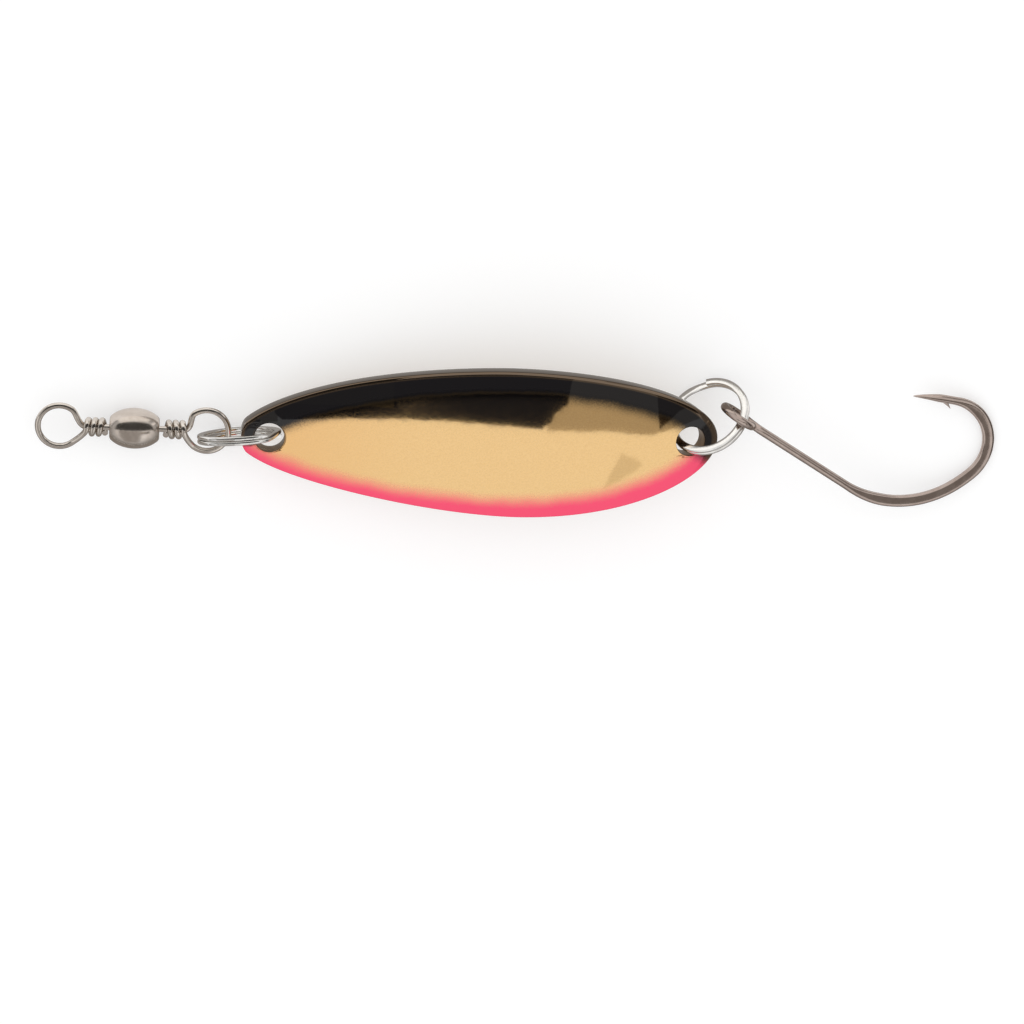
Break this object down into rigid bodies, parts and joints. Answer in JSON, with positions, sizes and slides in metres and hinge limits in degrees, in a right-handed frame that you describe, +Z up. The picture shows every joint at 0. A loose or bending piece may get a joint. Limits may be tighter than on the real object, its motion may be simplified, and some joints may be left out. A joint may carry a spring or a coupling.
{
  "type": "fishing spoon lure",
  "caption": "S-curved metal fishing spoon with a painted face and a gold back, hung by split rings between a barrel swivel with wire eyes and a barbed hook.",
  "frame": {"origin": "centre of the lure's footprint, on the surface that it lies on", "axes": "+X from the line eye to the hook, +Y across the blade, +Z up, out of the painted face"},
  "size_m": [0.0784, 0.013, 0.0069],
  "materials": {
    "painted_gold": "gold plate, sprayed black and pink on the face, under clear lacquer",
    "bright_nickel": "bright nickel plate on spring steel",
    "barrel_nickel": "warm black nickel plate",
    "wire_nickel": "black nickel plate on drawn wire",
    "smoked_nickel": "smoked nickel plate on forged wire"
  },
  "bodies": {
    "blade": {"blade": "painted_gold"},
    "front_split_ring": {"front_split_ring": "bright_nickel"},
    "swivel_ring_eye": {"swivel_ring_eye": "wire_nickel"},
    "swivel_barrel": {"swivel_barrel": "barrel_nickel"},
    "swivel_line_eye": {"swivel_line_eye": "wire_nickel"},
    "rear_split_ring": {"rear_split_ring": "bright_nickel"},
    "hook": {"hook": "smoked_nickel"}
  },
  "joints": [
    {"name": "front_ring_turn", "type": "hinge", "parent": "blade", "child": "front_split_ring", "pos_m": [-0.02247, 0.00013, 0.00342], "axis": [-0.0651, 0.9749, -0.2128], "range_deg": [-50, 60]},
    {"name": "swivel_swing", "type": "hinge", "parent": "front_split_ring", "child": "swivel_ring_eye", "pos_m": [-0.02514, -0.0004, 0.00182], "axis": [-0.5296, 0.1469, 0.8354], "range_deg": [-60, 60]},
    {"name": "barrel_spin", "type": "hinge", "parent": "swivel_ring_eye", "child": "swivel_barrel", "pos_m": [-0.03108, 0.00026, 0.00182], "axis": [0.9994, -0.0349, 0], "continuous": true},
    {"name": "line_eye_spin", "type": "hinge", "parent": "swivel_barrel", "child": "swivel_line_eye", "pos_m": [-0.03108, 0.00026, 0.00182], "axis": [0.9994, -0.0349, 0], "continuous": true},
    {"name": "rear_ring_turn", "type": "hinge", "parent": "blade", "child": "rear_split_ring", "pos_m": [0.0158, 0.00189, 0.00358], "axis": [0.3955, -0.7126, -0.5795], "range_deg": [-60, 60]},
    {"name": "hook_swing", "type": "hinge", "parent": "rear_split_ring", "child": "hook", "pos_m": [0.01855, 0.00217, 0.00511], "axis": [-0.2916, -0.6957, 0.6565], "range_deg": [-60, 50]}
  ]
}
